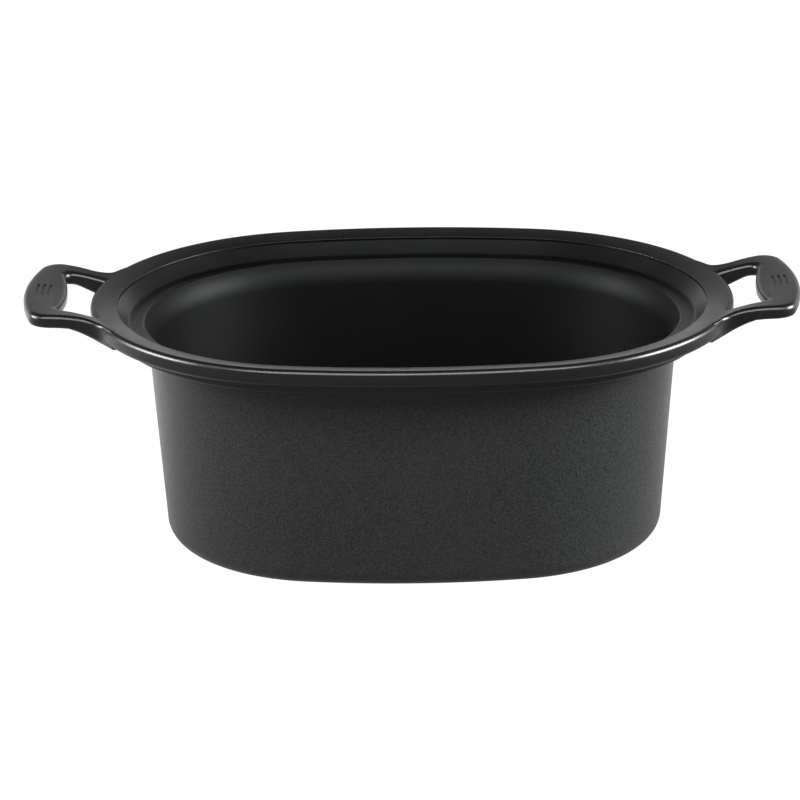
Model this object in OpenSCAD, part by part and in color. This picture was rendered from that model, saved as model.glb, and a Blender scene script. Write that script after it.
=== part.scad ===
// Removable cooking pot of a slow cooker: one oval aluminium casting with
// two loop handles, a nonstick lining inside and a flecked coat outside.
// Every level is an oval of four arcs: two end arcs and two long side arcs.
// Millimetres. The origin is under the middle of the foot, and +Z is up.

/* [Rim] */
// Half the length of the rim, without the handles
rim_half_len = 183; // [176:0.5:190]
// Radius of the rim's end arcs
rim_end_r = 131; // [125:0.5:134]
// Radius of the rim's side arcs
rim_side_r = 471; // [460:1:480]
// Height of the rim's top edge above the foot
pot_h = 142; // [120:1:170]
// Width of the flange's flat top, from the outer edge to the step
flange_w = 15; // [14:0.5:16]
// Slope at which the flange's top falls inwards, in degrees
flange_fall = 11; // [8:0.5:12]
// Thickness of the flange behind its outer edge
flange_t = 6; // [5:0.5:7]
// Height of the rim's rounded outer edge
bead_h = 10.5; // [10:0.1:12]
// Radius of the outer edge's top corner
bead_top_r = 2.8; // [1:0.1:3.5]
// Radius of the outer edge's bottom corner
bead_low_r = 4; // [2:0.1:5]
// Width of the solid outer edge
bead_w = 8; // [7:0.5:9]

/* [Lid seat] */
// Height of the small step at the flange's inner edge
step_h = 1.6; // [0.8:0.1:2]
// Width of the ramp between the step and the ledge
ramp_w = 6.8; // [6:0.1:7]
// Depth of the ledge below the rim's top edge
ledge_depth = 12; // [11:0.1:13]
// Radius of the lip between the ledge and the shoulder
lip_r = 1.5; // [1:0.1:2.5]
// Radius of the shoulder that leads from the lip into the bowl
shoulder_r = 22; // [20:0.5:22.5]

/* [Seat collar] */
// Inset of the collar's outer face from the rim's edge
collar_inset = 14; // [13:0.5:15]
// Depth of the collar's flat underside below the rim's top edge
collar_depth = 19; // [18:0.5:21]
// Radius of the collar's bottom corner
collar_r = 2.4; // [1:0.1:3]

/* [Wall] */
// Half the length of the wall at the collar's underside
wall_half_len = 151; // [150:0.5:152]
// Radius of the wall's end arcs there
wall_end_r = 102.25; // [102:0.25:103]
// Radius of the wall's side arcs there
wall_side_r = 421; // [419:1:423]
// Angle at which the wall draws in downwards, in degrees
wall_draft = 4.1; // [3:0.1:5]
// Thickness of the wall, coats included
wall_t = 4; // [3.5:0.1:4.5]
// Outer radius between the wall and the base
base_r = 11.2; // [9:0.1:14]
// Inner radius between the wall and the floor
floor_r = 15; // [12:0.5:18]
// Height of the floor inside above the foot
floor_h = 5; // [4.5:0.1:6]

/* [Foot] */
// Inset of the foot ring from the wall's oval at the collar
foot_inset = 26; // [24:0.5:30]
// Width of the bare foot ring
foot_w = 20; // [10:1:24]
// Depth of the turned recess inside the foot ring
foot_recess = 1; // [0.5:0.1:1.5]

/* [Handles] */
// Length of a handle beyond the rim
handle_reach = 37.5; // [34:0.5:39]
// Half the width of a handle
handle_half_wid = 49.5; // [47:0.5:51]
// Angle at which a handle's legs spread towards the grip, in degrees
leg_flare = 12; // [8:1:14]
// Thickness of a handle
handle_t = 7.8; // [7:0.1:9.5]
// Thickness of a handle where its underside meets the rim
root_t = 11.6; // [10.8:0.1:12]
// Slope at which a handle's top leaves the rim, in degrees
handle_rise = 20; // [16:0.5:22]
// Radius of the arc that a handle's top then follows
handle_top_r = 98; // [85:1:110]
// Radius of a handle's outer edge, seen from above
tip_r = 150; // [130:1:160]
// Radius of a handle's outer corners
corner_r = 11; // [10:0.5:14]
// Radius of the fillet between a handle and the rim
root_r = 14; // [10:0.5:18]
// Half the width of the finger gap
gap_half_wid = 34; // [31:0.5:35]
// Length of the finger gap at its middle
gap_len = 13.5; // [12:0.5:15]
// Radius of the grip's inner edge, seen from above
grip_r = 130; // [110:1:200]
// Radius of the finger gap's outer corners
gap_corner_r = 5; // [3:0.5:6]

/* [Grip grooves] */
// Number of grooves across each grip
groove_count = 3; // [1:1:3]
// Length of a groove
groove_len = 18; // [10:1:24]
// Width of a groove
groove_w = 1.4; // [1:0.1:2]
// Depth of a groove
groove_depth = 0.6; // [0.4:0.1:1]
// Distance between grooves
groove_pitch = 3.4; // [2.5:0.1:4]

/* [Coats] */
// Thickness of the lining and of the outer coat
coat_t = 0.4; // [0.3:0.05:0.5]
// Height of the bare band between the collar and the outer coat
coat_gap = 0.5; // [0.3:0.1:0.8]
// Height at which the outer coat stops under the base
coat_end_z = 0.4; // [0.3:0.1:0.8]

/* [Hidden] */
$fn = 96;

above = 20;                                        // clear of everything above the rim
reach_in = 60;                                     // how far the rings run in over the floor
rim_reach_in = reach_in + rim_half_len - wall_half_len;
join_inset = 24;                                   // where the rim's ring ends inside the wall's
join_out = 9;                                      // how far the wall's ring runs out to meet it
tuck = 6;                                          // how far a handle starts inside the rim

flange_in_z = pot_h - flange_w * tan(flange_fall); // the flange top's inner edge
ramp_top_z = flange_in_z - step_h;
ledge_z = pot_h - ledge_depth;
ramp_slope = atan2(ramp_top_z - ledge_z, ramp_w);
collar_z = pot_h - collar_depth;
coat_top_z = collar_z - coat_gap;
bead_bottom_z = pot_h - bead_h;
draft_k = tan(wall_draft);

end_x = rim_half_len - rim_end_r;                  // centre of the rim's end arcs
tip_cx = rim_half_len + handle_reach - tip_r;
corner_y = handle_half_wid - corner_r;
corner_x = tip_cx + sqrt(pow(tip_r - corner_r, 2) - pow(corner_y, 2));
corner_a = atan2(corner_y, corner_x - tip_cx);
along_leg = [cos(leg_flare), sin(leg_flare)];
out_of_leg = [-sin(leg_flare), cos(leg_flare)];
root_from = [corner_x - end_x, corner_y] + (corner_r + root_r) * out_of_leg;
root_lever = root_from * along_leg;
root_gap = root_from * root_from - pow(rim_end_r - 0.4 + root_r, 2);
root_c = root_from + (sqrt(pow(root_lever, 2) - root_gap) - root_lever) * along_leg + [end_x, 0];
root_a = atan2(root_c[1], root_c[0] - end_x);
grip_x = rim_half_len + gap_len;                   // the grip's inner edge at its middle
groove_x = (grip_x + rim_half_len + handle_reach) / 2 + 1;
grip_top_z = pot_h + handle_top_r * (1 - cos(handle_rise));

// Points along an arc, from one angle to another
function arc(centre, r, from, to, steps = 6) =
    [for (i = [0 : steps]) let (a = from + (to - from) * i / steps) centre + r * [cos(a), sin(a)]];

// The same points mirrored to the other side of the X axis, in reverse order
function across(points) =
    [for (i = [len(points) - 1 : -1 : 0]) [points[i][0], -points[i][1]]];

// How far the wall's outside has drawn in at a height
function wall_in(z) = (z - collar_z) * draft_k;

// Sweeps a section along an oval: x is the distance out from the oval, y the height
module oval_sweep(half_len, end_r, side_r) {
    cx = half_len - end_r;
    cy = sqrt(pow(side_r - end_r, 2) - cx * cx);
    far = 3 * cx;
    for (half = [0, 180]) rotate([0, 0, half]) {
        intersection() {
            translate([cx, 0, 0]) rotate_extrude(angle = 170, start = -85, $fn = 240)
                translate([end_r, 0]) children();
            translate([0, 0, -1]) linear_extrude(pot_h + 2 * above)
                polygon([[cx, 0], [2 * cx, -cy], [2 * cx + far, -cy], [2 * cx + far, cy], [2 * cx, cy]]);
        }
        intersection() {
            translate([0, -cy, 0]) rotate_extrude(angle = 24, start = 78, $fn = 720)
                translate([side_r, 0]) children();
            translate([0, 0, -1]) linear_extrude(pot_h + 2 * above)
                polygon([[cx, 0], [2 * cx, cy], [-2 * cx, cy], [-cx, 0]]);
        }
    }
}

module along_rim() { oval_sweep(rim_half_len, rim_end_r, rim_side_r) children(); }
module along_wall() { oval_sweep(wall_half_len, wall_end_r, wall_side_r) children(); }

// The middle of the bowl, inside the rings: a plain eight-sided column
module core(z0, z1) {
    quarter = [[97, 20.5], [70, 50.5]];
    right = concat(quarter, [for (p = [quarter[1], quarter[0]]) [-p[0], p[1]]]);
    translate([0, 0, z0]) linear_extrude(z1 - z0) polygon(concat(right, across(right)));
}

// The flange, its rounded outer edge and the seat collar
module rim_section() {
    top_c = [-bead_top_r, pot_h - bead_top_r * tan(flange_fall) - bead_top_r / cos(flange_fall)];
    polygon(concat(
        [[-join_inset, collar_z], [-join_inset, flange_in_z], [-flange_w, flange_in_z]],
        arc(top_c, bead_top_r, 90 + flange_fall, 0),
        arc([-bead_low_r, bead_bottom_z + bead_low_r], bead_low_r, 0, -90),
        [[-bead_w, bead_bottom_z],
         [-bead_w, pot_h - bead_w * tan(flange_fall) - flange_t],
         [-collar_inset, pot_h - collar_inset * tan(flange_fall) - flange_t]],
        arc([-collar_inset - collar_r, collar_z + collar_r], collar_r, 0, -90)));
}

// The wall's outside and the base's edge, drawn in by the given coat
function wall_outline(coat) =
    let (r = base_r - coat,
         z = coat_end_z + base_r,
         u = wall_in(z) - base_r / cos(wall_draft))
    concat([[wall_in(coat_top_z) - coat / cos(wall_draft), coat_top_z]],
           arc([u, z], r, -wall_draft, -90));

// The wall's ring, filled inwards, with the foot ring under it
module casting_section() {
    polygon(concat(
        [[join_out, ledge_z - coat_t], [join_out, collar_z], [0, collar_z],
         [wall_in(coat_top_z), coat_top_z]],
        wall_outline(coat_t),
        [[-foot_inset, coat_end_z + coat_t], [-foot_inset, 0],
         [-foot_inset - foot_w, 0], [-foot_inset - foot_w, foot_recess],
         [-reach_in, foot_recess], [-reach_in, ledge_z - coat_t]]));
}

// The bowl, from the floor up over the shoulder, drawn in by the given lining
module bowl_section(lining) {
    in_u = -(wall_t - coat_t + lining) / cos(wall_draft);
    floor_z = floor_h - coat_t + lining;
    round_r = floor_r - lining;
    round_u = in_u + wall_in(floor_z + round_r) - round_r / cos(wall_draft);
    bend_r = shoulder_r - coat_t + lining;
    apart = (shoulder_r - lip_r) * sqrt(0.5);
    bend_z = ledge_z - lip_r - apart;
    bend_u = in_u + wall_in(bend_z) + bend_r / cos(wall_draft);
    lip_c = [bend_u - apart, bend_z + apart];
    top_z = pot_h + above + lining;
    polygon(concat(
        [[-reach_in, top_z], [-reach_in, floor_z]],
        arc([round_u, floor_z + round_r], round_r, -90, -wall_draft),
        arc([bend_u, bend_z], bend_r, 180 - wall_draft, 135),
        arc(lip_c, lip_r - coat_t + lining, 135, 90, 4),
        [[lip_c[0], top_z]]));
}

// The opening above the ledge: the lining raises its floor, and leaves the step's wall clear
module mouth_section(lining) {
    bare = coat_t - lining;
    drop = bare / cos(ramp_slope);
    step_u = lining - flange_w;
    top_z = pot_h + above + lining;
    polygon([
        [step_u, top_z], [step_u, ramp_top_z - drop + lining * tan(ramp_slope)],
        [-flange_w - ramp_w + (drop - bare) / tan(ramp_slope), ledge_z - bare],
        [-rim_reach_in, ledge_z - bare], [-rim_reach_in, top_z]]);
}

// All the space inside the pot, drawn in by the given lining
module cavity(lining) {
    along_rim() mouth_section(lining);
    along_wall() bowl_section(lining);
    core(floor_h - coat_t + lining, pot_h + above + lining);
}

// A handle's outline and its finger gap, seen from above
module handle_plan() {
    side = concat(
        [[end_x + (rim_end_r - tuck) * cos(root_a), (rim_end_r - tuck) * sin(root_a)]],
        arc(root_c, root_r, 180 + root_a, 270 + leg_flare),
        arc([corner_x, corner_y], corner_r, 90 + leg_flare, corner_a));
    tip = arc([tip_cx, 0], tip_r, corner_a, -corner_a, 12);
    difference() {
        polygon(concat(side, tip, across(side)));
        finger_gap();
    }
}

module finger_gap() {
    inner_r = rim_end_r - 2;
    inner_a = asin(gap_half_wid / inner_r);
    straight = gap_half_wid - gap_corner_r;
    bulge_a = asin(straight / grip_r);
    corner_cx = grip_x + grip_r * (1 - cos(bulge_a)) - gap_corner_r;
    corner = arc([corner_cx, straight], gap_corner_r, 90, 0);
    polygon(concat(
        arc([end_x, 0], inner_r, -inner_a, inner_a, 12),
        corner,
        arc([grip_x + grip_r, 0], grip_r, 180 - bulge_a, 180 + bulge_a, 10),
        across(corner)));
}

// A plate that leaves the rim at a slope and follows an arc outwards
module handle_arch() {
    centre = [rim_end_r + handle_top_r * sin(handle_rise), pot_h - handle_top_r * cos(handle_rise)];
    from = 90 + handle_rise;
    under_r = handle_top_r - handle_t;
    start = [rim_end_r - tuck, pot_h - tuck * tan(flange_fall) - 0.05];
    root_z = pot_h - root_t;
    translate([end_x, 0, 0]) rotate_extrude(angle = 80, start = -40, $fn = 240)
        polygon(concat(
            [start], arc(centre, handle_top_r, from, 80, 10),
            arc(centre, under_r, 80, from - 8, 10),
            [[rim_end_r, root_z], [rim_end_r - tuck, root_z]]));
}

// Short rounded grooves across the middle of a grip
module grip_grooves() {
    half = groove_len / 2 - groove_w / 2;
    for (i = [0 : groove_count - 1])
        translate([groove_x + (i - (groove_count - 1) / 2) * groove_pitch, 0, grip_top_z - groove_depth])
            linear_extrude(above) polygon(concat(
                arc([0, half], groove_w / 2, 0, 180),
                arc([0, -half], groove_w / 2, 180, 360)));
}

module handle() {
    difference() {
        intersection() {
            translate([0, 0, pot_h - 25]) linear_extrude(50) handle_plan();
            handle_arch();
        }
        grip_grooves();
    }
}

// The whole pot in one aluminium casting, with its flange and handles
module pot_casting() {
    color("#2b2c2d") difference() {
        union() {
            along_rim() rim_section();
            along_wall() casting_section();
            core(foot_recess, floor_h);
            for (half = [0, 180]) rotate([0, 0, half]) handle();
        }
        cavity(0);
    }
}

// The nonstick coat of the bowl, the shoulder, the ledge and the ramp
module nonstick_lining() {
    color("#101112") difference() {
        cavity(0);
        cavity(coat_t);
    }
}

// The flecked coat of the wall and the base's rounded edge
module outer_coat() {
    inner = wall_outline(coat_t);
    color("#38393a") along_wall() polygon(concat(
        wall_outline(0),
        [[-foot_inset, coat_end_z], [-foot_inset, coat_end_z + coat_t]],
        [for (i = [len(inner) - 1 : -1 : 0]) inner[i]]));
}

pot_casting();
nonstick_lining();
outer_coat();
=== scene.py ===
# %% [markdown]
# # A slow cooker's cooking pot
# The object is the removable pot of an oval slow cooker. It is one aluminium casting with a wide
# flange and two loop handles, a smooth black lining inside, and a flecked charcoal coat outside.
# This lesson loads the finished CAD parts as a fixed frame, then builds a smooth piece in place of
# each one, because the CAD parts have plain edges where the real casting has soft radii.

# %% Load the frame
import math

import bpy
from mathutils import Matrix, Vector


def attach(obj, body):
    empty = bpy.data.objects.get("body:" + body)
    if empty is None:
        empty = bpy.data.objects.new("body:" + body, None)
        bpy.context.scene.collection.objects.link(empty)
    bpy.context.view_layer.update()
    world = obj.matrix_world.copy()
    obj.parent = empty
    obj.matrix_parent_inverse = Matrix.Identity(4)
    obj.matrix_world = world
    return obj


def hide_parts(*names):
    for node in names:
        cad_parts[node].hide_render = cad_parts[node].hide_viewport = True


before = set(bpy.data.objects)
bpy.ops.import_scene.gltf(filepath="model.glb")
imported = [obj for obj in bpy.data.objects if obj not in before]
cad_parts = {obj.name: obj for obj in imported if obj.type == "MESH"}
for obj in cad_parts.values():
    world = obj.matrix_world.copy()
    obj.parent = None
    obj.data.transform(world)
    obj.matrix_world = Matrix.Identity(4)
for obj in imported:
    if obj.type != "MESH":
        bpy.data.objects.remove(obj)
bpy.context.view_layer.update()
print("nodes:", sorted(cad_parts))

# %% [markdown]
# ## Driving sizes
# Everything is worked out from a few sizes in millimetres, which are the same as the CAD part's.
# Every level of the pot is an oval made of four arcs: two short end arcs of about 160 degrees, and
# two long side arcs of nearly half a metre's radius. The rim's family of ovals and the wall's
# family have different centres, so the ledge that the lid sits on is wider at the ends.

# %% Driving sizes
MM = 0.001
POT_H = 142.0              # height of the rim's top edge
FLANGE_W = 15.0            # from the outer edge to the step
FLANGE_FALL = math.radians(11)
FLANGE_T = 6.0             # thickness behind the outer edge
BEAD_H = 10.5              # height of the rounded outer edge
BEAD_TOP_R = 2.8
BEAD_LOW_R = 4.0
BEAD_W = 8.0
BEAD_IN_R = 0.8            # radius of the bead's inner lower corner
UNDER_R = 2.0              # radius of the hollow corners under the flange
STEP_H = 1.6
STEP_UNDERCUT = 0.8        # how far the step's face is cut in under the flange's edge
STEP_EDGE_R = 0.15
RAMP_W = 6.8
RAMP_BEND_R = 2.5          # radius where the ramp meets the ledge
LEDGE_DEPTH = 12.0
COLLAR_INSET = 14.0
COLLAR_DEPTH = 19.0
COLLAR_R = 2.4
DRAFT = math.radians(4.1)  # the wall leans in towards the base
WALL_T = 4.0
BASE_R = 11.2
FLOOR_R = 15.0
FLOOR_H = 5.0
LIP_R = 1.5
SHOULDER_R = 22.0
COAT_T = 0.4               # how far the casting lies below a coated surface
SKIN_T = 0.35              # a coat's own thickness, so that its back stays clear of the metal
COAT_LOW_Z = 0.4
FOOT_INSET = 26.0
FOOT_W = 20.0
FOOT_RECESS = 1.0
FOOT_CHAMFER = 0.6
REACH_IN = 60.0            # how far the spun floors run in before a flat face closes them

FLANGE_IN_Z = POT_H - FLANGE_W * math.tan(FLANGE_FALL)
RAMP_TOP_Z = FLANGE_IN_Z - STEP_H
LEDGE_Z = POT_H - LEDGE_DEPTH
COLLAR_Z = POT_H - COLLAR_DEPTH
RAMP_SLOPE = math.atan2(RAMP_TOP_Z - LEDGE_Z, RAMP_W)


class Oval:
    """Four arcs: the end centres are on X, the side centres on Y, and they meet at an angle."""

    def __init__(self, half_len, end_r, side_r):
        self.half_len, self.end_r, self.side_r = half_len, end_r, side_r
        self.end_x = half_len - end_r
        self.side_y = math.sqrt((side_r - end_r) ** 2 - self.end_x ** 2)
        self.join = math.atan2(self.side_y, self.end_x)


RIM = Oval(183.0, 131.0, 471.0)
WALL = Oval(151.0, 102.25, 421.0)
for name, oval in (("rim", RIM), ("wall", WALL)):
    print(name, "half width", round(oval.side_r - oval.side_y, 2),
          "arcs meet at", round(math.degrees(oval.join), 2), "degrees")

# %% [markdown]
# ## Helpers for modelling by operators
# A potter's wheel makes a round pot from one profile. Blender's Spin does the same, and a pot with
# four arcs takes five spins one after another, each about its own centre. The profile is a chain
# of vertices: a plane is merged to one vertex, which is then extruded from point to point.
# Vertex groups mark the ends of a profile. Spin copies them, so a whole open edge loop can be
# picked again later by its group's name, to bridge it to another loop or to close it.

# %% Helpers
def arc(centre, radius, start, end, steps=8):
    """Points along an arc, with angles in degrees."""
    turns = [math.radians(start + (end - start) * i / steps) for i in range(steps + 1)]
    return [(centre[0] + radius * math.cos(a), centre[1] + radius * math.sin(a)) for a in turns]


def only(obj):
    """Leaves this object as the one that operators act on."""
    if bpy.context.object and bpy.context.object.mode != "OBJECT":
        bpy.ops.object.mode_set(mode="OBJECT")
    bpy.ops.object.select_all(action="DESELECT")
    obj.select_set(True)
    bpy.context.view_layer.objects.active = obj


def chain(name, points):
    """A line of vertices through points in millimetres, extruded one from the next."""
    bpy.ops.object.select_all(action="DESELECT")
    bpy.ops.mesh.primitive_plane_add(size=MM)
    obj = bpy.context.object
    obj.name = obj.data.name = name
    bpy.ops.object.mode_set(mode="EDIT")
    bpy.ops.mesh.merge(type="CENTER")
    spots = [Vector(p) * MM for p in points]
    bpy.ops.transform.translate(value=spots[0])
    for here, there in zip(spots, spots[1:]):
        bpy.ops.mesh.extrude_region_move(TRANSFORM_OT_translate={"value": there - here})
    bpy.ops.object.mode_set(mode="OBJECT")
    return obj


def mark(obj, group, index):
    """Puts one vertex of a chain in a vertex group, which Spin then copies round the oval."""
    obj.vertex_groups.new(name=group).add([index], 1.0, "REPLACE")


def pick(obj, *groups):
    """Selects the vertices of these groups, in edit mode."""
    only(obj)
    bpy.ops.object.mode_set(mode="EDIT")
    bpy.ops.mesh.select_mode(type="VERT")
    bpy.ops.mesh.select_all(action="DESELECT")
    for group in groups:
        bpy.ops.object.vertex_group_set_active(group=group)
        bpy.ops.object.vertex_group_select()


END_STEPS = 66             # steps in half an end arc
SIDE_STEPS = 44            # steps in a side arc


def spin_round(name, profile, oval, first, last):
    """Spins a profile of (outward, height) points round the oval. first and last name its ends."""
    obj = chain(name, [(oval.half_len + u, 0, z) for u, z in profile])
    mark(obj, first, 0)
    mark(obj, last, len(profile) - 1)
    only(obj)
    bpy.ops.object.mode_set(mode="EDIT")
    bpy.ops.mesh.select_all(action="SELECT")
    side_turn = math.pi - 2 * oval.join
    legs = [(oval.join, END_STEPS, (oval.end_x, 0)), (side_turn, SIDE_STEPS, (0, -oval.side_y)),
            (2 * oval.join, 2 * END_STEPS, (-oval.end_x, 0)),
            (side_turn, SIDE_STEPS, (0, oval.side_y)), (oval.join, END_STEPS, (oval.end_x, 0))]
    for turn, steps, (x, y) in legs:
        bpy.ops.mesh.spin(steps=steps, angle=-turn, center=(x * MM, y * MM, 0), axis=(0, 0, 1))
    bpy.ops.mesh.select_all(action="SELECT")
    bpy.ops.mesh.remove_doubles(threshold=0.02 * MM)
    bpy.ops.object.mode_set(mode="OBJECT")
    return obj


def join(name, *parts):
    """Joins parts into one object."""
    only(parts[0])
    for part in parts:
        part.select_set(True)
    bpy.ops.object.join()
    parts[0].name = parts[0].data.name = name
    return parts[0]


def bridge(obj, group_a, group_b):
    """Fills the band between two open loops."""
    pick(obj, group_a, group_b)
    bpy.ops.mesh.select_mode(type="EDGE")
    bpy.ops.mesh.bridge_edge_loops()
    bpy.ops.object.mode_set(mode="OBJECT")


def close_flat(obj, group):
    """Closes an open flat loop with one face, inset so that its edge shades evenly."""
    pick(obj, group)
    bpy.ops.mesh.edge_face_add()
    bpy.ops.mesh.inset(thickness=4 * MM)
    bpy.ops.object.mode_set(mode="OBJECT")


def face_out(obj):
    """Merges doubles and turns every face of a closed shape outwards."""
    only(obj)
    bpy.ops.object.mode_set(mode="EDIT")
    bpy.ops.mesh.select_all(action="SELECT")
    bpy.ops.mesh.remove_doubles(threshold=0.005 * MM)
    bpy.ops.mesh.normals_make_consistent(inside=False)
    bpy.ops.object.mode_set(mode="OBJECT")


def apply_modifier(obj, kind, **settings):
    """Adds a modifier, sets it and applies it."""
    only(obj)
    mod = obj.modifiers.new(kind.lower(), kind)
    for key, value in settings.items():
        setattr(mod, key, value)
    bpy.ops.object.modifier_apply(modifier=mod.name)


def finish_piece(obj, node, material, angle=32):
    """Smooths a piece, gives it its material, and lets it stand for its CAD node."""
    only(obj)
    bpy.ops.object.shade_smooth_by_angle(angle=math.radians(angle))
    obj.data.materials.clear()
    obj.data.materials.append(material)
    obj.vertex_groups.clear()
    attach(obj, "root")
    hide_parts(node)
    edges = {}
    for face in obj.data.polygons:
        for key in face.edge_keys:
            edges[key] = edges.get(key, 0) + 1
    open_edges = sum(1 for count in edges.values() if count != 2)
    print(obj.name, len(obj.data.polygons), "faces,", open_edges, "open edges")


# %% [markdown]
# ## Sections
# These are the outlines that the spins use, in millimetres: how far out from the oval, and the
# height. Round corners are arcs. The wall's outline and the bowl's outline take a coat's
# thickness, so the casting, the lining and the outer coat share one formula and fit each other.
# A lid rests on the ledge, and the small step above the ramp is where the black lining ends.
# The step's face is cut in under the flange's edge, so it is in shade all round and reads as a
# thin dark line.

# %% Sections
def wall_in(z):
    """How far the wall's outside has drawn in at a height."""
    return (z - COLLAR_Z) * math.tan(DRAFT)


def wall_outline(coat):
    """The wall's outside and the base's rounded edge, drawn in by a coat."""
    centre = (wall_in(COAT_LOW_Z + BASE_R) - BASE_R / math.cos(DRAFT), COAT_LOW_Z + BASE_R)
    top = (-coat / math.cos(DRAFT), COLLAR_Z)
    return [top] + arc(centre, BASE_R - coat, -math.degrees(DRAFT), -90, 12)


def bowl_outline(lining):
    """From the floor over the inner radius, up the wall and over the shoulder."""
    in_u = -(WALL_T - COAT_T + lining) / math.cos(DRAFT)
    floor_z = FLOOR_H - COAT_T + lining
    round_r = FLOOR_R - lining
    round_z = floor_z + round_r
    bend_r = SHOULDER_R - COAT_T + lining
    apart = (SHOULDER_R - LIP_R) * math.sqrt(0.5)
    bend_z = LEDGE_Z - LIP_R - apart
    bend_u = in_u + wall_in(bend_z) + bend_r / math.cos(DRAFT)
    lean = math.degrees(DRAFT)
    return ([(-REACH_IN, floor_z)]
            + arc((in_u + wall_in(round_z) - round_r / math.cos(DRAFT), round_z),
                  round_r, -90, -lean, 12)
            + arc((bend_u, bend_z), bend_r, 180 - lean, 135, 12)
            + arc((bend_u - apart, bend_z + apart), LIP_R - COAT_T + lining, 135, 90, 6)[1:])


def mouth_outline(lining):
    """From the ledge up the ramp to the foot of the step, drawn in by a lining."""
    bare = COAT_T - lining
    drop = bare / math.cos(RAMP_SLOPE)
    top = (-FLANGE_W, RAMP_TOP_Z - drop)
    foot = (-FLANGE_W - RAMP_W + (drop - bare) / math.tan(RAMP_SLOPE), LEDGE_Z - bare)
    reach = RAMP_BEND_R * math.tan(RAMP_SLOPE / 2)
    centre = (foot[0] - reach, foot[1] + RAMP_BEND_R)
    return arc(centre, RAMP_BEND_R, -90, -90 + math.degrees(RAMP_SLOPE), 5) + [top]


def flange_outline():
    """From the step over the flange and its rounded outer edge to the seat collar's underside."""
    fall = math.degrees(FLANGE_FALL)
    edge_z = (FLANGE_IN_Z + STEP_EDGE_R * math.tan(FLANGE_FALL)
              - STEP_EDGE_R / math.cos(FLANGE_FALL))
    groove = -FLANGE_W + STEP_UNDERCUT
    top = (-BEAD_TOP_R,
           POT_H - BEAD_TOP_R * math.tan(FLANGE_FALL) - BEAD_TOP_R / math.cos(FLANGE_FALL))
    low_z = POT_H - BEAD_H
    bead_z = POT_H - BEAD_W * math.tan(FLANGE_FALL) - FLANGE_T
    collar_z = POT_H - COLLAR_INSET * math.tan(FLANGE_FALL) - FLANGE_T
    return ([(groove, RAMP_TOP_Z - 0.3), (groove, FLANGE_IN_Z - 0.7), (-FLANGE_W, FLANGE_IN_Z - 0.6)]
            + arc((-FLANGE_W + STEP_EDGE_R, edge_z), STEP_EDGE_R, 180, 90 + fall, 4)
            + arc(top, BEAD_TOP_R, 90 + fall, 0, 10)
            + arc((-BEAD_LOW_R, low_z + BEAD_LOW_R), BEAD_LOW_R, 0, -90, 8)
            + arc((-BEAD_W + BEAD_IN_R, low_z + BEAD_IN_R), BEAD_IN_R, -90, -180, 3)
            + arc((-BEAD_W - UNDER_R, bead_z - UNDER_R), UNDER_R, 0, 90, 4)
            + arc((-COLLAR_INSET + UNDER_R, collar_z - UNDER_R), UNDER_R, 90, 180, 4)
            + arc((-COLLAR_INSET - COLLAR_R, COLLAR_Z + COLLAR_R), COLLAR_R, 0, -90, 6))


print("points:", len(wall_outline(0)), "wall,", len(bowl_outline(0)), "bowl,",
      len(mouth_outline(0)), "mouth,", len(flange_outline()), "flange")

# %% [markdown]
# ## Satin dark coat
# The flange, the handles and the collar have a smooth dark coat over the cast metal. It is nearly
# black by itself, and looks grey only where it reflects something pale, so the colour stays very
# dark and the gloss does the work. A faint cloud in the colour and in the roughness, and a fine
# grain in the height, keep it from looking like flat plastic. All of them read Object coordinates,
# in metres.

# %% Material tools
def new_material(name):
    """A material with only a Principled shader, with its nodes, links and shader."""
    mat = bpy.data.materials.new(name)
    mat.use_nodes = True
    return mat, mat.node_tree.nodes, mat.node_tree.links, mat.node_tree.nodes["Principled BSDF"]


def noise(nodes, links, where, scale, detail=2.0, rough=0.5):
    """A noise texture on the given coordinates."""
    node = nodes.new("ShaderNodeTexNoise")
    node.inputs["Scale"].default_value = scale
    node.inputs["Detail"].default_value = detail
    node.inputs["Roughness"].default_value = rough
    links.new(where, node.inputs["Vector"])
    return node


def ramp(nodes, links, value, stops):
    """A colour ramp on a value, from (position, colour) stops."""
    node = nodes.new("ShaderNodeValToRGB")
    while len(node.color_ramp.elements) < len(stops):
        node.color_ramp.elements.new(0.5)
    for element, (position, colour) in zip(node.color_ramp.elements, stops):
        element.position = position
        element.color = (*colour, 1.0)
    links.new(value, node.inputs["Fac"])
    return node


def remap(nodes, links, value, low, high, to_low, to_high):
    """Maps a value from one range to another."""
    node = nodes.new("ShaderNodeMapRange")
    for key, number in (("From Min", low), ("From Max", high),
                        ("To Min", to_low), ("To Max", to_high)):
        node.inputs[key].default_value = number
    links.new(value, node.inputs["Value"])
    return node


def bump(nodes, links, height, shader, depth, strength=1.0, after=None):
    """Adds a bump of that many metres to the shader's normal."""
    node = nodes.new("ShaderNodeBump")
    node.inputs["Distance"].default_value = depth
    node.inputs["Strength"].default_value = strength
    links.new(height, node.inputs["Height"])
    if after:
        links.new(after.outputs["Normal"], node.inputs["Normal"])
    links.new(node.outputs["Normal"], shader.inputs["Normal"])
    return node


def object_coordinates(nodes):
    """The piece's own coordinates, in metres."""
    return nodes.new("ShaderNodeTexCoord").outputs["Object"]


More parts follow.
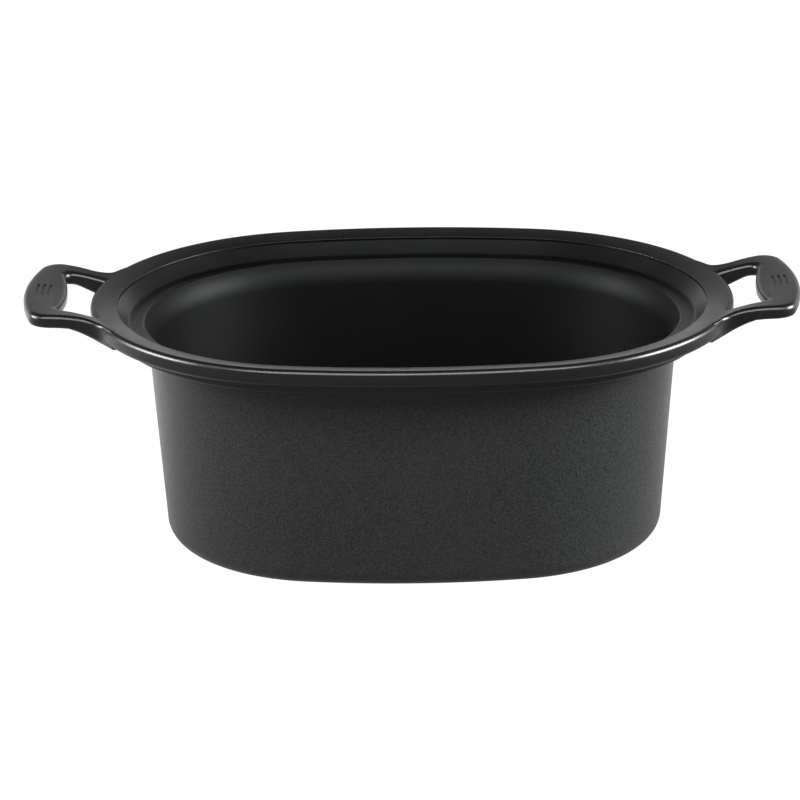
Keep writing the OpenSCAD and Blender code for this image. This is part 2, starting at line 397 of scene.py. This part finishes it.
# %% Satin dark coat
def satin_coat():
    """The dark coat of the flange, the handles and the collar."""
    mat, nodes, links, shader = new_material("satin_dark_coat")
    where = object_coordinates(nodes)
    cloud = noise(nodes, links, where, 35, 3)
    colour = ramp(nodes, links, cloud.outputs["Fac"],
                  [(0.3, (0.0026, 0.0026, 0.0028)), (0.7, (0.0036, 0.0036, 0.0037))])
    links.new(colour.outputs["Color"], shader.inputs["Base Color"])
    shader.inputs["Metallic"].default_value = 0.0
    shader.inputs["IOR"].default_value = 1.55
    wear = noise(nodes, links, where, 90, 4)
    dull = remap(nodes, links, wear.outputs["Fac"], 0.3, 0.7, 0.27, 0.33)
    links.new(dull.outputs["Result"], shader.inputs["Roughness"])
    grain = noise(nodes, links, where, 1400, 2)
    bump(nodes, links, grain.outputs["Fac"], shader, 0.00002, 0.5)
    return mat


satin = satin_coat()
print(satin.name)

# %% [markdown]
# ## Satin black lining
# The nonstick lining is the darkest finish. It is sprayed on, so a close look shows a very low,
# soft orange-peel texture, which breaks up the edges of the highlights. The ledge and the ramp are
# glossier than the bowl: they mirror their surroundings as clean bands, and the bowl stays soft
# and deep. One material does both, because its gloss depends on the height, and it changes over
# less than a millimetre just below the ledge.

# %% Satin black lining
BOWL_BELOW = 0.1288        # metres: below this height the lining has the bowl's gloss
LEDGE_FROM = 0.1297        # metres: above this height it has the ledge's and the ramp's


def lining_coat():
    """The black lining, duller in the bowl than on the ledge and the ramp."""
    mat, nodes, links, shader = new_material("satin_black_lining")
    where = object_coordinates(nodes)
    cloud = noise(nodes, links, where, 28, 2)
    colour = ramp(nodes, links, cloud.outputs["Fac"],
                  [(0.3, (0.0008, 0.0008, 0.0008)), (0.7, (0.0012, 0.0012, 0.0012))])
    links.new(colour.outputs["Color"], shader.inputs["Base Color"])
    shader.inputs["IOR"].default_value = 1.45
    axes = nodes.new("ShaderNodeSeparateXYZ")
    links.new(where, axes.inputs["Vector"])
    gloss = remap(nodes, links, axes.outputs["Z"], BOWL_BELOW, LEDGE_FROM, 0.14, 0.50)
    links.new(gloss.outputs["Result"], shader.inputs["Specular IOR Level"])
    wear = noise(nodes, links, where, 60, 3)
    dull = remap(nodes, links, wear.outputs["Fac"], 0.3, 0.7, 0.52, 0.54)
    polish = remap(nodes, links, axes.outputs["Z"], BOWL_BELOW, LEDGE_FROM, 0.0, 0.24)
    finish = nodes.new("ShaderNodeMath")
    finish.operation = "SUBTRACT"
    links.new(dull.outputs["Result"], finish.inputs[0])
    links.new(polish.outputs["Result"], finish.inputs[1])
    links.new(finish.outputs["Value"], shader.inputs["Roughness"])
    peel = noise(nodes, links, where, 520, 1.5)
    bump(nodes, links, peel.outputs["Fac"], shader, 0.00006, 0.5)
    return mat


lining_black = lining_coat()
print(lining_black.name)

# %% [markdown]
# ## Flecked charcoal coat
# The outside has a charcoal spray with fine metal flakes. Each flake is a small mirror tilted a
# little, so some catch the light and most don't. Voronoi cells about 0.4 mm across each have their
# own random colour. A cell's red value says how much of it is bright metal, and a third of the
# cells have none. Its green value sets its roughness, and its blue value its height, which tilts
# the edges between the cells.

# %% Flecked charcoal coat
FLAKE_FROM = 0.35          # cells with a lower random value hold no metal


def flecked_coat():
    """The charcoal coat outside, with a metal flake in most cells."""
    mat, nodes, links, shader = new_material("flecked_charcoal_coat")
    where = object_coordinates(nodes)
    flakes = nodes.new("ShaderNodeTexVoronoi")
    flakes.inputs["Scale"].default_value = 2400
    links.new(where, flakes.inputs["Vector"])
    split = nodes.new("ShaderNodeSeparateColor")
    links.new(flakes.outputs["Color"], split.inputs["Color"])
    bright = remap(nodes, links, split.outputs["Red"], FLAKE_FROM, 1.0, 0.0, 1.0)
    cloud = noise(nodes, links, where, 22, 3)
    ground = ramp(nodes, links, cloud.outputs["Fac"],
                  [(0.3, (0.0060, 0.0066, 0.0064)), (0.7, (0.0090, 0.0096, 0.0090))])
    mix = nodes.new("ShaderNodeMix")
    mix.data_type = "RGBA"
    mix.inputs["B"].default_value = (0.072, 0.075, 0.069, 1.0)
    links.new(bright.outputs["Result"], mix.inputs["Factor"])
    links.new(ground.outputs["Color"], mix.inputs["A"])
    links.new(mix.outputs["Result"], shader.inputs["Base Color"])
    metal = remap(nodes, links, split.outputs["Red"], FLAKE_FROM, 1.0, 0.0, 0.75)
    links.new(metal.outputs["Result"], shader.inputs["Metallic"])
    shader.inputs["IOR"].default_value = 1.5
    dull = remap(nodes, links, split.outputs["Green"], 0.0, 1.0, 0.28, 0.38)
    links.new(dull.outputs["Result"], shader.inputs["Roughness"])
    peel = noise(nodes, links, where, 700, 2)
    soft = bump(nodes, links, peel.outputs["Fac"], shader, 0.00012, 0.6)
    bump(nodes, links, split.outputs["Blue"], shader, 0.00003, 0.5, after=soft)
    return mat


flecked = flecked_coat()
print(flecked.name)

# %% [markdown]
# ## The casting
# The casting is one closed shape, so it is spun as three open bands and then bridged. The first
# band is the rim's: the ledge, the ramp, the step, the flange, its rounded outer edge and the seat
# collar. The second is the wall's outside down to the foot, and the third the inside of the bowl.
# All three have the same number of steps, so each bridge is a clean strip of quads.

# %% The casting's three bands
rim_band = spin_round("rim_band", mouth_outline(0) + flange_outline(), RIM,
                      "ledge_out", "collar_in")
foot_in = -FOOT_INSET - FOOT_W
foot = [(-FOOT_INSET, COAT_LOW_Z + COAT_T), (-FOOT_INSET, FOOT_CHAMFER),
        (-FOOT_INSET - FOOT_CHAMFER, 0), (foot_in + FOOT_CHAMFER, 0), (foot_in, FOOT_CHAMFER),
        (foot_in, FOOT_RECESS), (-REACH_IN, FOOT_RECESS)]
wall_band = spin_round("wall_band", wall_outline(COAT_T) + foot, WALL, "wall_top", "foot_in")
bowl_band = spin_round("bowl_band", bowl_outline(0), WALL, "floor_in", "ledge_in")
casting = join("pot_body", rim_band, wall_band, bowl_band)
bridge(casting, "collar_in", "wall_top")
bridge(casting, "ledge_out", "ledge_in")
close_flat(casting, "foot_in")
close_flat(casting, "floor_in")
face_out(casting)
print("casting", [round(d * 1000, 1) for d in casting.dimensions])

# %% [markdown]
# ## The handles
# Each handle is a loop that grows out of the flange. Its outline and the edge of its finger gap
# are two rails with the same number of points, and Bridge Edge Loops lays a strip between them.
# The strip's height then follows a rule: it keeps to the flange's slope inside the rim and bends
# over an arc beyond it. Extruding the strip downwards gives it its thickness, and a Bevel modifier
# rounds its edges to the same radius as the rim's outer edge. At each root the outline runs along
# the rim for a few degrees, just inside it, so that the two rounded edges run into each other.

# %% The handles' sizes
REACH = 37.5               # length beyond the rim
HALF_WID = 49.5
FLARE = math.radians(12)   # the legs spread towards the grip
HANDLE_T = 7.8
ROOT_T = 11.6              # thickness where the underside meets the rim
RISE = math.radians(20)
TOP_R = 98.0
TIP_R = 150.0
CORNER_R = 11.0
ROOT_R = 14.0
GAP_HALF_WID = 34.0
GAP_LEN = 13.5
GRIP_R = 130.0
GAP_CORNER_R = 5.0
TUCK = 9.0                 # how far the handle starts inside the rim
UNDER_FROM = 14.8          # where the underside's slope turns into its arc
TOP_DIP = 0.02             # how far the handle's top lies under the flange's, inside the rim
ROOT_STEPS = 3             # points of the outline that run along inside the rim
ROOT_TURN = 1.5            # degrees from one of those points to the next
ROOT_DIP = 0.4             # how much deeper in each of them lies


def off_rim(x, y):
    """Distance out from the rim's end arc."""
    return math.hypot(x - RIM.end_x, y) - RIM.end_r


def on_arc(out, radius):
    """Height of an arc about the centre of a handle's curve."""
    return POT_H - TOP_R * math.cos(RISE) + math.sqrt(radius ** 2 - (out - TOP_R * math.sin(RISE)) ** 2)


def handle_top(x, y):
    """Height of a handle's top: the flange's slope inside the rim, and an arc beyond it."""
    out = off_rim(x, y)
    if out < 0:
        return POT_H + out * math.tan(FLANGE_FALL) - TOP_DIP
    return on_arc(out, TOP_R)


def handle_under(x, y):
    """Height of a handle's underside: a slope out of the rim, and then an arc."""
    out = off_rim(x, y)
    if out > UNDER_FROM:
        return on_arc(out, TOP_R - HANDLE_T)
    low = POT_H - ROOT_T
    return low + (on_arc(UNDER_FROM, TOP_R - HANDLE_T) - low) * max(out, 0) / UNDER_FROM


# %% The handles' rails
def along(start, end, steps):
    """Points along a straight line, without its start."""
    return [(start[0] + (end[0] - start[0]) * i / steps, start[1] + (end[1] - start[1]) * i / steps)
            for i in range(1, steps + 1)]


def outer_rail():
    """Half of a handle's outline, from the middle of the tip to inside the rim."""
    tip_x = RIM.half_len + REACH - TIP_R
    corner = Vector((tip_x + math.sqrt((TIP_R - CORNER_R) ** 2 - (HALF_WID - CORNER_R) ** 2),
                     HALF_WID - CORNER_R))
    corner_a = math.degrees(math.atan2(corner.y, corner.x - tip_x))
    along_leg = Vector((math.cos(FLARE), math.sin(FLARE)))
    out_of_leg = Vector((-math.sin(FLARE), math.cos(FLARE)))
    centre = Vector((RIM.end_x, 0))
    start = corner + (CORNER_R + ROOT_R) * out_of_leg
    lever = (start - centre).dot(along_leg)
    gap = (start - centre).length_squared - (RIM.end_r + ROOT_R) ** 2
    root = start + (math.sqrt(lever ** 2 - gap) - lever) * along_leg
    root_a = math.degrees(math.atan2(root.y, root.x - RIM.end_x))
    flare = math.degrees(FLARE)

    def at_rim(step, inside):
        turn = math.radians(root_a + ROOT_TURN * step)
        return (RIM.end_x + (RIM.end_r - inside) * math.cos(turn),
                (RIM.end_r - inside) * math.sin(turn))

    rail = arc((tip_x, 0), TIP_R, 0, corner_a, 14)
    rail += arc(corner, CORNER_R, corner_a, 90 + flare, 10)[1:]
    rail += along(rail[-1], root - ROOT_R * out_of_leg, 3)
    rail += arc(root, ROOT_R, 270 + flare, 180 + root_a, 10)[1:]
    rail += [at_rim(step, ROOT_DIP * step) for step in range(1, ROOT_STEPS + 1)]
    return rail + [at_rim(ROOT_STEPS, TUCK)]


def inner_rail(points):
    """Half of a finger gap's edge, with that many points."""
    straight = GAP_HALF_WID - GAP_CORNER_R
    bulge = math.asin(straight / GRIP_R)
    grip_x = RIM.half_len + GAP_LEN
    corner_x = grip_x + GRIP_R * (1 - math.cos(bulge)) - GAP_CORNER_R
    rail = arc((grip_x + GRIP_R, 0), GRIP_R, 180, 180 - math.degrees(bulge), 14)
    rail += arc((corner_x, straight), GAP_CORNER_R, 0, 90, 10)[1:]
    rim_x = RIM.end_x + math.sqrt((RIM.end_r - TUCK) ** 2 - GAP_HALF_WID ** 2)
    return rail + along(rail[-1], (rim_x, GAP_HALF_WID), points - len(rail))


def mirrored(rail):
    """The whole rail, from one root round the tip to the other root."""
    return [(x, -y) for x, y in reversed(rail[1:])] + rail


outline = outer_rail()
gap_edge = inner_rail(len(outline))
print("rails of", len(outline), "and", len(gap_edge), "points")

# %% [markdown]
# ## Grip grooves
# Three short, shallow grooves cross each grip, so that it doesn't slip in a wet oven glove. In the
# real pot they would be part of the die. Each cutter is an upright cylinder whose two halves are
# moved apart along Y, and a Boolean modifier sinks it into the grip.

# %% Grip grooves
GROOVE_X = (RIM.half_len + GAP_LEN + RIM.half_len + REACH) / 2 + 1
GROOVE_PITCH = 3.4
GROOVE_LEN = 18.0
GROOVE_W = 1.4
GROOVE_DEPTH = 0.6
CUTTER_H = 4.0


def groove_cutter(x):
    """A bar with round ends across the grip, with its underside at the groove's depth."""
    low = handle_top(x, 0) - GROOVE_DEPTH
    bpy.ops.object.select_all(action="DESELECT")
    bpy.ops.mesh.primitive_cylinder_add(vertices=24, radius=GROOVE_W / 2 * MM, depth=CUTTER_H * MM,
                                        location=(x * MM, 0, (low + CUTTER_H / 2) * MM))
    bar = bpy.context.object
    bpy.ops.object.transform_apply(location=True, rotation=False, scale=False)
    half = (GROOVE_LEN - GROOVE_W) / 2 * MM
    bpy.context.tool_settings.mesh_select_mode = (True, False, False)
    for side in (1, -1):
        for face in bar.data.polygons:
            face.select = False
        for edge in bar.data.edges:
            edge.select = False
        for v in bar.data.vertices:
            v.select = v.co.y * side > 0.01 * MM
        bpy.ops.object.mode_set(mode="EDIT")
        bpy.ops.transform.translate(value=(0, side * half, 0))
        bpy.ops.object.mode_set(mode="OBJECT")
    return bar


# %% The handles' shape
def make_handle():
    """The right handle, from its two rails to its grooves."""
    rails = [chain("rail", [(x, y, POT_H) for x, y in mirrored(half)])
             for half in (outline, gap_edge)]
    obj = join("handle", *rails)
    only(obj)
    bpy.ops.object.mode_set(mode="EDIT")
    bpy.ops.mesh.select_all(action="SELECT")
    bpy.ops.mesh.bridge_edge_loops(number_cuts=3, interpolation="LINEAR", smoothness=0)
    bpy.ops.mesh.select_all(action="SELECT")
    bpy.ops.mesh.extrude_region_move(TRANSFORM_OT_translate={"value": (0, 0, -HANDLE_T * MM)})
    bpy.ops.object.mode_set(mode="OBJECT")
    for v in obj.data.vertices:
        side = handle_top if v.co.z > (POT_H - 1) * MM else handle_under
        v.co.z = side(v.co.x / MM, v.co.y / MM) * MM
    face_out(obj)
    apply_modifier(obj, "BEVEL", width=BEAD_TOP_R * MM, segments=6, limit_method="ANGLE",
                   angle_limit=math.radians(60), use_clamp_overlap=False)
    for step in (-1, 0, 1):
        cutter = groove_cutter(GROOVE_X + step * GROOVE_PITCH)
        apply_modifier(obj, "BOOLEAN", operation="DIFFERENCE", object=cutter, solver="EXACT")
        bpy.data.objects.remove(cutter)
    return obj


handle_right = make_handle()
print("handle", [round(d * 1000, 1) for d in handle_right.dimensions],
      len(handle_right.data.polygons), "faces")
handle_left = handle_right.copy()
handle_left.data = handle_right.data.copy()
bpy.context.collection.objects.link(handle_left)
handle_left.data.transform(Matrix.Rotation(math.pi, 4, "Z"))
casting = join("pot_body", casting, handle_right, handle_left)
finish_piece(casting, "pot_casting", satin)

# %% [markdown]
# ## The lining
# The real lining is sprayed into the finished casting and baked. It is a skin, so it is spun as a
# sheet, its ledge bridged and its floor closed, and a Solidify modifier then gives it its
# thickness towards the metal.

# %% The lining
mouth_sheet = spin_round("mouth_sheet", mouth_outline(COAT_T), RIM, "ledge_out", "step_edge")
bowl_sheet = spin_round("bowl_sheet", bowl_outline(COAT_T), WALL, "floor_in", "ledge_in")
lining = join("bowl_lining", mouth_sheet, bowl_sheet)
bridge(lining, "ledge_out", "ledge_in")
close_flat(lining, "floor_in")
face_out(lining)
if sum(f.normal.z * f.area for f in lining.data.polygons) < 0:
    lining.data.flip_normals()
apply_modifier(lining, "SOLIDIFY", thickness=SKIN_T * MM, offset=-1)
finish_piece(lining, "nonstick_lining", lining_black)

# %% [markdown]
# ## The outer coat
# The outer coat is sprayed on from the collar down and round the base's edge. It is spun from the
# wall's outline alone, and is given its thickness in the same way as the lining.

# %% The outer coat
coat = spin_round("wall_coat", wall_outline(0) + [(-FOOT_INSET, COAT_LOW_Z)], WALL,
                  "coat_top", "coat_end")
face_out(coat)
outward = sum(f.normal.dot(f.center) * f.area for f in coat.data.polygons)
if outward < 0:
    coat.data.flip_normals()
apply_modifier(coat, "SOLIDIFY", thickness=SKIN_T * MM, offset=-1)
finish_piece(coat, "outer_coat", flecked)

# %% [markdown]
# ## Floor and light
# The pot stands on a plain white floor. A dark, glossy thing shows its surroundings more than its
# own colour, so the light is planned as what each face should mirror. The camera itself sees the
# floor and the world as plain white, but in reflections they are dimmer: pale low down behind the
# pot and beside it, for the flange and the edges of the wall, and dark in front and high up, for
# the wall's face and the thin dark lines. The floor is paler on the left. A long soft box high in
# front puts the bright line along the rim's rounded edge, and a box on each side lights the ends
# and the bowl.

# %% Floor
FLOOR_SIZE = 8.0           # metres
SEEN_STRENGTH = 1.05       # how bright the camera sees the floor: just past white

bpy.ops.object.select_all(action="DESELECT")
bpy.ops.mesh.primitive_plane_add(size=FLOOR_SIZE, location=(0, 0, 0))
floor = bpy.context.object
floor.name = "floor"
floor_paint, f_nodes, f_links, floor_shader = new_material("floor_white")
floor_shader.inputs["Base Color"].default_value = (0.02, 0.02, 0.02, 1)
floor_shader.inputs["Specular IOR Level"].default_value = 0.0
floor_shader.inputs["Emission Color"].default_value = (1, 1, 1, 1)
place = f_nodes.new("ShaderNodeSeparateXYZ")
f_links.new(object_coordinates(f_nodes), place.inputs["Vector"])
behind = remap(f_nodes, f_links, place.outputs["Y"], -0.12, 0.35, 0.22, 0.95)
to_left = remap(f_nodes, f_links, place.outputs["X"], -0.35, 0.35, 1.45, 0.75)
spread = f_nodes.new("ShaderNodeMath")
spread.operation = "MULTIPLY"
f_links.new(behind.outputs["Result"], spread.inputs[0])
f_links.new(to_left.outputs["Result"], spread.inputs[1])
f_seen = f_nodes.new("ShaderNodeLightPath")
f_mix = f_nodes.new("ShaderNodeMix")
f_mix.inputs["B"].default_value = SEEN_STRENGTH
f_links.new(f_seen.outputs["Is Camera Ray"], f_mix.inputs["Factor"])
f_links.new(spread.outputs["Value"], f_mix.inputs["A"])
f_links.new(f_mix.outputs["Result"], floor_shader.inputs["Emission Strength"])
floor.data.materials.append(floor_paint)
print("floor", FLOOR_SIZE, "m")

# %% World
world = bpy.data.worlds.new("studio")
bpy.context.scene.world = world
world.use_nodes = True
w_nodes, w_links = world.node_tree.nodes, world.node_tree.links
background = w_nodes["Background"]
direction = w_nodes.new("ShaderNodeTexCoord").outputs["Generated"]
axes = w_nodes.new("ShaderNodeSeparateXYZ")
w_links.new(direction, axes.inputs["Vector"])
height = ramp(w_nodes, w_links, axes.outputs["Z"],
              [(0.0, (0.95, 0.95, 0.95)), (0.15, (0.85, 0.85, 0.85)), (0.33, (0.27, 0.27, 0.27)),
               (0.62, (0.08, 0.08, 0.083)), (0.80, (0.03, 0.03, 0.032))])
front = remap(w_nodes, w_links, axes.outputs["Y"], -0.6, 0.0, 0.12, 1.0)
shade = w_nodes.new("ShaderNodeMix")
shade.data_type = "RGBA"
shade.blend_type = "MULTIPLY"
shade.inputs["Factor"].default_value = 1.0
w_links.new(height.outputs["Color"], shade.inputs["A"])
w_links.new(front.outputs["Result"], shade.inputs["B"])
seen = w_nodes.new("ShaderNodeLightPath")
pick_seen = w_nodes.new("ShaderNodeMix")
pick_seen.data_type = "RGBA"
pick_seen.inputs["B"].default_value = (1.0, 1.0, 1.0, 1.0)
w_links.new(seen.outputs["Is Camera Ray"], pick_seen.inputs["Factor"])
w_links.new(shade.outputs["Result"], pick_seen.inputs["A"])
w_links.new(pick_seen.outputs["Result"], background.inputs["Color"])
background.inputs["Strength"].default_value = 1.0


# %% Lights
def soft_box(name, place, target, size, power, colour=(1, 1, 1)):
    """A rectangular area light that faces its target."""
    data = bpy.data.lights.new(name, "AREA")
    data.shape = "RECTANGLE"
    data.size, data.size_y = size
    data.energy = power
    data.color = colour
    lamp = bpy.data.objects.new(name, data)
    bpy.context.collection.objects.link(lamp)
    lamp.location = place
    lamp.rotation_euler = (Vector(target) - Vector(place)).to_track_quat("-Z", "Y").to_euler()
    return lamp


overhead = soft_box("overhead", (0, -1.15, 1.26), (0, 0, 0.14), (2.4, 0.7), 46, (0.93, 0.97, 1.0))
left_box = soft_box("left_box", (-1.5, -0.1, 0.7), (0, 0, 0.1), (0.9, 0.6), 40, (0.95, 0.98, 1.0))
right_box = soft_box("right_box", (1.5, -0.1, 0.7), (0, 0, 0.1), (0.9, 0.6), 66, (0.95, 0.98, 1.0))
for lamp in (overhead, left_box, right_box):
    print(lamp.name, [round(c, 2) for c in lamp.location], lamp.data.energy, "W")

# %% [markdown]
# ## Camera
# The camera is a long lens two metres away, nearly twenty degrees above the rim, and it is turned
# by less than a degree about its own axis.

# %% Camera
CAMERA_RISE = math.radians(19.56)
CAMERA_ROLL = math.radians(-0.73)
CAMERA_LENS = 165.5        # millimetres
CAMERA_AWAY = 2.117        # metres
camera_data = bpy.data.cameras.new("camera")
camera_data.lens = CAMERA_LENS
camera_data.clip_end = 20
camera = bpy.data.objects.new("camera", camera_data)
bpy.context.collection.objects.link(camera)
aim = Vector((-0.00749, 0, 0.0779))
back = Vector((0, -math.cos(CAMERA_RISE), math.sin(CAMERA_RISE)))
camera.location = aim + back * CAMERA_AWAY
look = (-back).to_track_quat("-Z", "Y").to_matrix()
camera.rotation_euler = (look @ Matrix.Rotation(CAMERA_ROLL, 3, "Z")).to_euler()
bpy.context.scene.camera = camera
bpy.context.scene.view_settings.view_transform = "Standard"
bpy.context.view_layer.update()
print("camera at", [round(c, 3) for c in camera.location])
